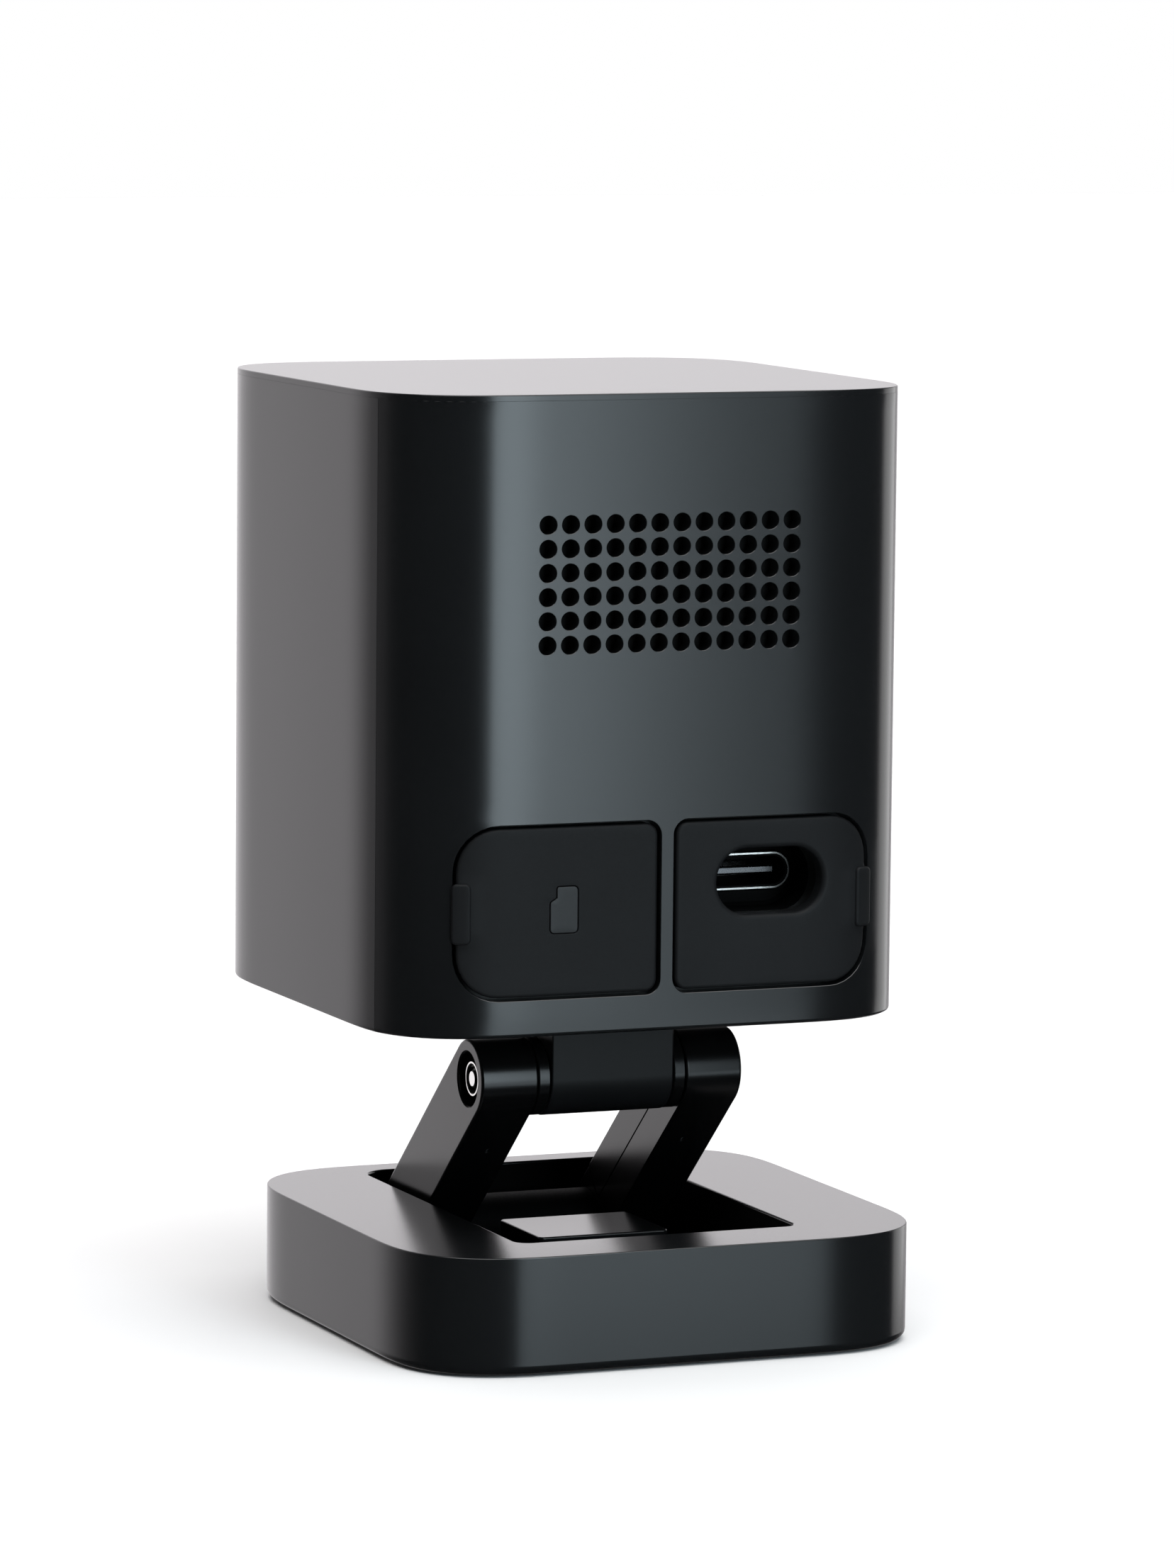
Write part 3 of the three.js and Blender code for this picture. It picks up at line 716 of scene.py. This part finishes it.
def rear_shell():
    edge = REAR_EDGE - SEAM / 2
    holes = [bay(1), bay(-1)]
    for row in range(GRILLE["rows"]):
        z = GRILLE["z"] + (row - (GRILLE["rows"] - 1) / 2) * GRILLE["pitch"]
        for column in range(GRILLE["columns"]):
            u = (column - (GRILLE["columns"] - 1) / 2) * GRILLE["pitch"]
            holes.append(circle(u, height(z), GRILLE["radius"], 24))
    wall_part("rear_shell", -edge, edge, holes, 0.04, "rear_cover")


def bay_floor(side, holes):
    name = "card_bay_floor" if side > 0 else "usb_bay_floor"
    us = spread(side * 9.6 - 11, side * 9.6 + 11, 1.0)
    vs = spread(height(1), height(19.5), 1.5)
    floor = panel(name, sunk(SHELL + 0.05), bay(side, 1.2), holes, us, vs, 1.3, 0.12)
    finish(floor, MATERIALS["dark_plastic"], "head", ["rear_cover"])


def main_shell():
    edge = REAR_EDGE + SEAM / 2
    middle, half = GIRTH / 2, WINDOW["half"]
    low, high = height(WINDOW["z0"]), height(WINDOW["z1"])
    window = rounded(middle - half, middle + half, low, high, WINDOW["corner"], 10, 2.0)
    lamp_hole = circle(middle, height(2.7), 0.45, 16)
    wall_part("main_shell", edge, GIRTH - edge, [window, lamp_hole], 0.2, "main_housing")


def head_square(inset):
    square = soft_square(HALF, CORNER, HEAD_Y)
    return lambda grow=0.0: square(grow - inset)


def top_plate():
    top = HEAD_Z + HEAD_HEIGHT
    line = HEAD_Z + CAP_LINE + HAIR / 2
    rings = [level(head_square(2), top - 1.6), level(head_square(2), line)]
    rings += bevel_rings(head_square(0), line, top, 0.004, 0.12, 5)
    finish(loft("top_plate", rings), MATERIALS["shell"], "head", ["top_cap"])


def under_plate():
    def downwards(u, v, depth):
        return Vector((u, v, HEAD_Z + 0.25 + depth))

    inset = ROLL + 0.15
    side = HALF - inset
    us = spread(-side, side, 3)
    vs = spread(HEAD_Y - side, HEAD_Y + side, 3)
    holes = [rounded(-5.7, 5.7, HIGH.y - 3.55, HIGH.y + 3.55, 0.3, 4)]
    holes += [circle(x, HEAD_Y + y, 1.95, 24) for _, x, y in CASE_SCREWS]
    plate = panel("under_plate", downwards, head_square(inset), holes, us, vs, 1.3, 0.15)
    finish(plate, MATERIALS["shell"], "head", ["bottom_plate"])
    for k, (node, x, y) in enumerate(CASE_SCREWS):
        screw = pan_screw(f"body_screw_{k + 1}", (x, HEAD_Y + y, HEAD_Z + 0.35))
        finish(screw, MATERIALS["steel"], "head", [node])


def pan_screw(name, centre):
    """A screw with its head down, at centre, and a cross recess."""
    profile = [(0, 0), (1.2, 0.02), (1.6, 0.12), (1.78, 0.3), (1.78, 0.5)]
    profile += [(0.85, 0.5), (0.85, 6.6), (0, 6.6)]
    body = turned(name, profile, centre, (0, 0, 1), steps=40)
    x, y, z = centre
    bars = []
    for wide, tall in ((1.0, 0.22), (0.22, 1.0)):
        shape = rounded(x - wide, x + wide, y - tall, y + tall, 0.05, 2)
        bars.append(loft("cutter", [level(shape, z - 1), level(shape, z + 0.32)]))
    return carve(body, *bars)


# ---- Port covers and what they hide -------------------------------------------------------
def smooth_step(low, high, value):
    """0 up to low, 1 from high on, and an S-shaped ramp between."""
    t = min(1.0, max(0.0, (value - low) / (high - low)))
    return t * t * (3 - 2 * t)


def port_cover(side, holes, lip, name, node, body):
    """A rubber cover that fills its bay, with a pull tab over the bay's outer edge."""
    us = spread(side * 9.64 - 9.5, side * 9.64 + 9.5, 0.7)
    vs = spread(height(2.8), height(17.8), 0.7)

    def swell(u, v):
        across = smooth_step(15.9, 17.2, abs(u)) * (1 - smooth_step(9.0, 9.9, abs(u) - 9.0))
        upright = 1 - smooth_step(2.3, 2.7, abs(v - height(10.3)))
        return 0.16 * across * upright

    cover = panel(name, sunk(0.05), bay(side, -0.27), holes, us, vs, 1.5, 0.3, swell, 6, lip)
    finish(cover, MATERIALS["rubber"], body, [node])
    outer = BAY_EDGE + 0.08
    low, high = (outer - TAB["wide"], outer) if side > 0 else (-outer, TAB["wide"] - outer)
    foot, head = height(TAB["z0"]), height(TAB["z1"])
    tab = rounded(low, high, foot, head, 0.45, 6, 0.5)
    tab_us = spread(low, high, 0.3)
    tab_vs = spread(foot, head, 0.5)

    def under(u, v):
        return 0.75 - 0.5 * smooth_step(18.25, 18.42, abs(u))

    pull = panel(name + "_tab", sunk(-0.32), tab, [], tab_us, tab_vs, under, 0.22, steps=5)
    finish(pull, MATERIALS["rubber"], body, [node])


def card_symbol(gap=0.0):
    """A plain memory-card outline, grown by a gap."""
    u, v = 9.1, height(10.4)
    corners = [(-1.2, -1.9), (1.2, -1.9), (1.2, 0.62), (0.62, 0.98), (0.62, 1.9), (-1.2, 1.9)]
    points = [(u + x, v + y) for x, y in corners]
    radii = [0.34, 0.34, 0.2, 0.1, 0.2, 0.34]
    return lambda grow=0.0: outline(points, radii, grow + gap, 6)


def covers():
    port_cover(1, [card_symbol(0.06)], 0.08, "card_cover", "sd_cover", "sd_flap")
    us = spread(7.5, 10.7, 0.6)
    vs = spread(height(8), height(13), 0.6)
    inlay = panel("card_inlay", sunk(0.05), card_symbol(), [], us, vs, 1.45, 0.05)
    finish(inlay, MATERIALS["symbol"], "sd_flap", ["sd_cover"])
    mouth = stadium(USB["x"], height(USB["z"]), 9.6, 5.5, 12)
    port_cover(-1, [mouth], 0.45, "power_cover", "usb_cover", "usb_flap")
    low, high = height(CARD_SLOT["z0"]), height(CARD_SLOT["z1"])
    card = rounded(CARD_SLOT["x0"], CARD_SLOT["x1"], low, high, 0.2, 3, 1.0)
    button = circle(BUTTON["x"], height(BUTTON["z"]), 1.1, 24)
    bay_floor(1, [card, button])
    bay_floor(-1, [stadium(USB["x"], height(USB["z"]), 9.9, 5.8, 12)])


def along_y(shape, y, grow=0.0):
    return [(x, y, z) for x, z in shape(grow)]


def power_socket():
    """The tunnel behind the cover's opening, and the socket's shell, a dark inner sleeve and tongue; the tunnel
    and the sleeve are painted shade.
    """
    x, z = USB["x"], HEAD_Z + USB["z"]
    mouth = HEAD_Y + USB["mouth"]
    outer = stadium(x, z, 12.4, 8.3, 12)
    inner = stadium(x, z, 9.9, 5.8, 12)
    seat = stadium(x, z, 9.2, 3.4, 12)
    front, floor = HEAD_Y + 20.3, mouth - 0.3
    rings = [along_y(outer, floor - 1), along_y(outer, front), along_y(inner, front)]
    rings += [along_y(inner, floor + 0.3), along_y(inner, floor, -0.3)]
    rings += [along_y(seat, floor), along_y(seat, floor - 1)]
    tunnel = loft("socket_tunnel", rings, closed=True)
    # The tunnel takes the painted-shade black: painted shade inside the opening.
    finish(tunnel, MATERIALS["well"], "head", ["usb_tunnel"])

    can = stadium(x, z, 8.94, 3.16, 14)
    rings = [along_y(can, mouth - 7.3), along_y(can, mouth - 0.06), along_y(can, mouth, -0.06)]
    rings += [along_y(can, mouth, -0.2), along_y(can, mouth - 0.04, -0.23)]
    rings += [along_y(can, mouth - 7.0, -0.23)]
    finish(loft("socket_can", rings), MATERIALS["nickel"], "head", ["usb_c_shell"])
    # A dark sleeve inside the metal shell, in the painted-shade black: painted shade where the shell's inside lies
    # in shadow.
    rings = [along_y(can, mouth - 0.12, -0.25), along_y(can, mouth - 0.12, -0.38)]
    rings += [along_y(can, mouth - 6.4, -0.38), along_y(can, mouth - 6.4, -0.25)]
    shade_sleeve = loft("socket_shade_sleeve", rings, closed=True)
    finish(shade_sleeve, MATERIALS["well"], "head", ["usb_c_shell"])

    blade = rounded(x - 3.3, x + 3.3, z - 0.35, z + 0.35, 0.15, 4)
    root = rounded(x - 3.6, x + 3.6, z - 0.6, z + 0.6, 0.2, 4)
    rings = [along_y(root, mouth - 6.25), along_y(root, mouth - 4.9), along_y(blade, mouth - 4.8)]
    rings += [along_y(blade, mouth - 0.85), along_y(blade, mouth - 0.7, -0.14)]
    tongue = loft("socket_tongue", rings)
    finish(tongue, MATERIALS["tongue"], "head", ["usb_c_tongue"])


def reset_plunger():
    centre = (BUTTON["x"], HEAD_Y + 21.4, HEAD_Z + BUTTON["z"])
    profile = [(0, 0), (0.7, 0), (0.88, 0.06), (0.95, 0.22), (0.95, 1.25)]
    profile += [(1.45, 1.25), (1.5, 1.35), (1.5, 1.9), (1.45, 2)]
    profile += [(0.95, 2), (0.95, 4.5), (0.85, 4.6), (0, 4.6)]
    plunger = turned("reset_plunger", profile, centre, (0, -1, 0))
    finish(plunger, MATERIALS["rubber"], "reset_key", ["reset_button"])


# ---- Lens side ----------------------------------------------------------------------------
def lens_side():
    front = HEAD_Y - HALF
    z = HEAD_Z + LENS_Z

    def forwards(u, v, depth):
        return Vector((u, front + 0.06 + depth, HEAD_Z + v))

    gap = 0.12
    half, low, high = WINDOW["half"] - gap, WINDOW["z0"] + gap, WINDOW["z1"] - gap
    pane = rounded(-half, half, low, high, WINDOW["corner"] - gap, 12)
    us = spread(-half, half, 3)
    vs = spread(low, high, 3)
    glass = panel("window_pane", forwards, pane, [circle(0, LENS_Z, 8.05, 72)], us, vs, 1.1, 0.15)
    finish(glass, MATERIALS["window"], "head", ["front_window"])

    profile = [(7.0, 0.0), (7.25, 0.03), (7.75, 0.5), (7.88, 0.75), (7.88, 2.95), (5.9, 2.95)]
    profile += [(6.3, 1.5), (6.42, 0.9), (6.6, 0.18), (6.75, 0.03)]
    ring = turned("lens_bezel", profile, (0, front + 0.05, z), (0, 1, 0), True, 96)
    finish(ring, MATERIALS["dark_plastic"], "head", ["lens_trim_ring"])

    profile = [(5.38, 0.1), (5.3, 0.0), (4.7, 0.0), (4.6, 0.08), (4.5, 0.3), (4.5, 1.9), (3.4, 1.9)]
    profile += [(3.4, 9.25), (5.38, 9.25)]
    barrel = turned("lens_tube", profile, (0, HEAD_Y - 22.6, z), (0, 1, 0), True, 72)
    finish(barrel, MATERIALS["dark_plastic"], "head", ["lens_barrel"])

    angles = [math.pi / 20 * k for k in range(1, 11)]
    dome = [(4.28 * math.sin(angle), 1.2 - 1.15 * math.cos(angle)) for angle in angles]
    profile = [(0, 0.05)] + dome + [(4.28, 1.75), (0, 1.75)]
    element = turned("lens_element", profile, (0, HEAD_Y - 22.55, z), (0, 1, 0), False, 64)
    finish(element, MATERIALS["lens"], "head", ["lens_glass"])


# ---- Bracket ------------------------------------------------------------------------------
TILT = Matrix.Translation(LOW) @ Matrix.Rotation(RISE, 4, "X")
SIDEWAYS = Matrix(((0, 0, 1, 0), (1, 0, 0, 0), (0, 1, 0, 0), (0, 0, 0, 1)))


def across(shape, x0, x1, edge0, edge1, tilted=True):
    """Rings of a prism along X. The shape lies in the bracket's plane, or in (y, z)."""
    matrix = TILT @ SIDEWAYS if tilted else SIDEWAYS
    return turn_rings(bevel_rings(shape, x0, x1, edge0, edge1), matrix)


def drill(radius, axis_point, x0, x1, flare=0.0, side=1):
    """A cutter along X through a point, on the given side, flared out at x1."""
    profile = [(0, x0), (radius, x0), (radius, x1), (0, x1)]
    if flare:
        wide = 2 + flare
        profile[2:3] = [(radius, x1 - wide), (radius + wide, x1)]
    centre = (0, axis_point.y, axis_point.z)
    return turned("cutter", profile, centre, (side, 0, 0), steps=64)


def bracket():
    r = ARM["r"]
    bar = rounded(-r, LINK + r, -r, r, r - 0.002, 20)
    lid = rounded(3.6, LINK - 3.6, 0.07, r, [0.05, 0.05, 0.25, 0.25], 4)
    bed = rounded(3.5, LINK - 3.5, -0.05, r + 2, 0.05, 2)
    for side, name in ((1, "left"), (-1, "right")):
        ends = (ARM["inner"], ARM["outer"], 0.15, 0.25)
        if side < 0:
            ends = (-ARM["outer"], -ARM["inner"], 0.25, 0.15)
        arm = loft(f"arm_{name}", across(bar, *ends))
        cutters = [
            drill(PIN_BORE["low"], LOW, -20, 20),
            drill(PIN_BORE["high"], HIGH, -20, 20),
            drill(2.3, HIGH, ARM["outer"] - 1.1, ARM["outer"] + 2, 0.12, side),
        ]
        x0, x1 = (6, 7.85) if side > 0 else (-7.85, -6)
        cutters.append(loft("cutter", across(bed, x0, x1, 0.001, 0.001)))
        dimple = TILT @ Vector((side * 8.9, LINK - 6.3, -r))
        pit = [(0, -0.3), (0.16, -0.3), (0.16, 0.3), (0, 0.3)]
        cutters.append(turned("cutter", pit, dimple, (0, 1, 0.5), steps=16))
        carve(arm, *cutters)
        finish(arm, MATERIALS["black_satin"], "bracket", ["bracket_frame"])
        x0, x1 = (ARM["inner"], 7.7) if side > 0 else (-7.7, -ARM["inner"])
        strip = loft(f"arm_strip_{name}", across(lid, x0, x1, 0.06, 0.06))
        finish(strip, MATERIALS["black_satin"], "bracket", [f"arm_lid_{name}"])
    bore, skin = PIN_BORE["low"], r - 0.5
    profile = [(bore, -6.9), (skin, -6.9), (skin, 6.9), (bore, 6.9)]
    # The cross barrel takes the painted-shade black, darker than the arms: painted shade between the arms.
    barrel = turned("cross_barrel", profile, LOW, (1, 0, 0), True, 80)
    finish(barrel, MATERIALS["well"], "bracket", ["bracket_frame"])


def knuckles():
    """The upper pin, with a ring turned into each end, and the collars beside the lug."""
    face = ARM["outer"] - 0.4
    half = [(0, face), (0.62, face), (0.7, face - 0.06), (0.72, face - 0.6), (1.2, face - 0.6)]
    half += [(1.22, face - 0.06), (1.3, face), (1.44, face), (1.5, face - 0.08)]
    profile = half + [(radius, -along) for radius, along in reversed(half)]
    pin = turned("pivot_pin", profile, HIGH, (1, 0, 0), steps=64)
    finish(pin, MATERIALS["polished"], "bracket", ["upper_hinge_pin"])
    for side, name in ((1, "left"), (-1, "right")):
        low, high = (5.6, 6.65) if side > 0 else (-6.65, -5.6)
        bore = PIN_BORE["high"]
        profile = [(bore, low), (3.2, low), (3.3, low + 0.1)]
        profile += [(3.3, high - 0.1), (3.2, high), (bore, high)]
        washer = turned(f"collar_{name}", profile, HIGH, (1, 0, 0), True, 80)
        node = f"friction_washer_{name}"
        finish(washer, MATERIALS["black_satin"], "bracket", [node])


def hinge_lug():
    r = ARM["r"]
    radii = [r - 0.002, r - 0.002, 0.2, 0.2]
    blade = rounded(HIGH.y - r, HIGH.y + r, HIGH.z - r, HEAD_Z + 3.7, radii, 20)
    lug = loft("lug_blade", across(blade, -5.5, 5.5, 0.15, 0.15, False))
    carve(lug, drill(PIN_BORE["high"], HIGH, -20, 20))
    finish(lug, MATERIALS["matte"], "head", ["hinge_lug"])
    flange = rounded(-10, 10, HIGH.y - 5.5, HIGH.y + 5.5, 0.8, 4)
    rings = bevel_rings(flange, HEAD_Z + 1.75, HEAD_Z + 3.7, 0.15, 0.15)
    finish(loft("lug_flange", rings), MATERIALS["shell"], "head", ["hinge_lug"])


# ---- Base ---------------------------------------------------------------------------------
def base():
    half, front, back = POCKET["half"], POCKET["front"], POCKET["back"]
    wall = soft_square(BASE["half"], BASE["corner"])
    pocket = rounded(-half, half, front, back, [2.4, 2.4, 1.2, 1.2], 24)
    seat = soft_square(21.62, BASE["corner"] - 1.4)
    rings = [level(seat, POCKET["floor"]), level(seat, BASE["foot"])]
    rings += bevel_rings(wall, BASE["foot"], BASE["top"], 0.8, 0.12, 6)
    lip = 0.2
    for s in range(5):
        angle = math.pi / 2 * s / 4
        drop = lip * (1 - math.cos(angle))
        rings.append(level(pocket, BASE["top"] - drop, lip * (1 - math.sin(angle))))
    rings.append(level(pocket, POCKET["floor"]))
    shell = loft("base_body", rings, closed=True)
    pin_hole = drill(PIN_BORE["low"], LOW, -14.6, 14.6)
    finish(carve(shell, pin_hole), MATERIALS["shell"], "base", ["base_shell"])
    # Painted shade: the pocket's inner walls take the painted-shade black, darker than the shell they belong to,
    # for the shade down in the pocket.
    shell.data.materials.append(MATERIALS["well"])
    for face in shell.data.polygons:
        x, y, z = face.center / MM
        within = abs(x) < half + 0.1 and front - 0.1 < y < back + 0.1
        if within and z < BASE["top"] - lip - 0.01:
            face.material_index = 1
    plate = rounded(-21.5, 21.5, -21.5, 21.5, 8.1, 12)
    floor = loft("base_floor", bevel_rings(plate, 0.6, 1.48, 0.15, 0.1))
    # The floor plate takes the painted-shade black: painted shade at the bottom of the pocket.
    finish(floor, MATERIALS["well"], "base", ["base_bottom_plate"])
    boss = rounded(-5.9, 5.9, -4.4, 4.9, 0.5, 8)
    block = loft("base_boss", bevel_rings(boss, 1.3, 7.9, 0.1, 0.18))
    finish(block, MATERIALS["shell"], "base", ["base_bottom_plate"])
    foot = rounded(-20.7, 20.7, -20.7, 20.7, 6.4, 12)
    pad = loft("grip_pad", bevel_rings(foot, 0, 0.58, 0.15, 0.1))
    finish(pad, MATERIALS["rubber"], "base", ["foot_pad"])


rear_shell()
main_shell()
top_plate()
under_plate()
covers()
power_socket()
reset_plunger()
lens_side()
bracket()
knuckles()
hinge_lug()
base()

# ---- Camera -------------------------------------------------------------------------------
AZIMUTH, ELEVATION, LEAN = math.radians(157.5), math.radians(6.72), math.radians(0.55)
TARGET = Vector((-0.00002, 0, 0.04546))
DISTANCE = 0.60035
back = Vector((
    math.sin(AZIMUTH) * math.cos(ELEVATION),
    -math.cos(AZIMUTH) * math.cos(ELEVATION),
    math.sin(ELEVATION),
))
right = Vector((math.cos(AZIMUTH), math.sin(AZIMUTH), 0))
up = back.cross(right)
tilted_right = right * math.cos(LEAN) + up * math.sin(LEAN)
tilted_up = up * math.cos(LEAN) - right * math.sin(LEAN)
lens = bpy.data.cameras.new("camera")
lens.lens = 163.7
lens.sensor_width = 36
lens.clip_start = 0.01
camera = bpy.data.objects.new("camera", lens)
turn = Matrix((tilted_right, tilted_up, back)).transposed().to_4x4()
camera.matrix_world = Matrix.Translation(TARGET + back * DISTANCE) @ turn
bpy.context.scene.collection.objects.link(camera)
bpy.context.scene.camera = camera


# ---- Floor, light and background ----------------------------------------------------------
def softbox(name, place, aim, width, tall, watts, colour=(1, 1, 1)):
    """A rectangular light at place, facing aim, that the camera doesn't see."""
    light = bpy.data.lights.new(name, "AREA")
    light.shape = "RECTANGLE"
    light.size, light.size_y = width, tall
    light.energy = watts
    light.color = colour
    obj = bpy.data.objects.new(name, light)
    obj.location = place
    obj.rotation_euler = (Vector(aim) - Vector(place)).to_track_quat("-Z", "Y").to_euler()
    obj.visible_camera = False
    bpy.context.scene.collection.objects.link(obj)


bm = bmesh.new()
bmesh.ops.create_grid(bm, x_segments=2, y_segments=2, size=2.5)
floor = object_from("floor", bm)
floor.location.z = -0.00005
paper = surface("white_paper", (0.93, 0.93, 0.93), (0.95, 0.95, 0.95), (0.8, 0.9), 20, 2000, 0.02)
floor.data.materials.append(paper)
floor.visible_glossy = False
floor.visible_shadow = False

sun = bpy.data.objects.new("overhead", bpy.data.lights.new("overhead", "SUN"))
sun.data.energy = 3.25
sun.data.angle = math.radians(70)
sun.rotation_euler = (math.radians(-12), 0, 0)
bpy.context.scene.collection.objects.link(sun)
COOL = (0.785, 0.925, 1)
softbox("rear_strip", (-0.061, 0.3, 0.119), (-0.061, 0, 0.119), 0.103, 0.262, 0.45, COOL)
softbox("low_strip", (-0.085, 0.3, -0.045), (-0.085, 0, -0.045), 0.15, 0.05, 0.05, COOL)
softbox("far_panel", (-0.026, -0.1, 0.045), (-0.026, 0, 0.045), 0.168, 0.19, 0.02)
softbox("side_panel", (-0.35, -0.13, 0.055), (0, -0.13, 0.055), 0.25, 0.25, 0.28)

world = bpy.data.worlds.new("studio")
bpy.context.scene.world = world
world.use_nodes = True
nodes = world.node_tree.nodes
link = world.node_tree.links.new
nodes.clear()
where = nodes.new("ShaderNodeTexCoord")
split = nodes.new("ShaderNodeSeparateXYZ")
link(where.outputs["Generated"], split.inputs["Vector"])


def combine(operation, *values, clamp=False):
    """The output of a maths node. Each value is a number or another node's output."""
    node = nodes.new("ShaderNodeMath")
    node.operation = operation
    node.use_clamp = clamp
    for socket, value in zip(node.inputs, values):
        if isinstance(value, bpy.types.NodeSocket):
            link(value, socket)
        else:
            socket.default_value = value
    return node.outputs["Value"]


def rise(value, low, high, start, end, shape="LINEAR"):
    """The output of a node that goes from start to end as value goes from low to high."""
    node = nodes.new("ShaderNodeMapRange")
    node.interpolation_type = shape
    node.inputs["From Min"].default_value = low
    node.inputs["From Max"].default_value = high
    node.inputs["To Min"].default_value = start
    node.inputs["To Max"].default_value = end
    link(value, node.inputs["Value"])
    return node.outputs["Result"]


far_side = combine("POWER", combine("MULTIPLY", split.outputs["Y"], -1, clamp=True), 2.2)
slope = combine("MULTIPLY_ADD", split.outputs["X"], -0.35, 1.04)
below = rise(split.outputs["Z"], -0.5, -0.14, 0.1, 1.0, "SMOOTHSTEP")
above = rise(split.outputs["Z"], 0.09, 0.16, 1.0, 1.42)
glow = nodes.new("ShaderNodeBackground")
glow.inputs["Color"].default_value = (1, 0.965, 0.995, 1)
across_sky = combine("MULTIPLY", far_side, slope)
link(combine("MULTIPLY", across_sky, combine("MULTIPLY", below, above)), glow.inputs["Strength"])
plain = nodes.new("ShaderNodeBackground")
plain.inputs["Color"].default_value = (1, 1, 1, 1)
plain.inputs["Strength"].default_value = 1.0
ray = nodes.new("ShaderNodeLightPath")
mix = nodes.new("ShaderNodeMixShader")
link(ray.outputs["Is Camera Ray"], mix.inputs["Fac"])
link(glow.outputs["Background"], mix.inputs[1])
link(plain.outputs["Background"], mix.inputs[2])
output = nodes.new("ShaderNodeOutputWorld")
link(mix.outputs["Shader"], output.inputs["Surface"])
bpy.context.scene.view_settings.view_transform = "Standard"

bpy.context.view_layer.update()
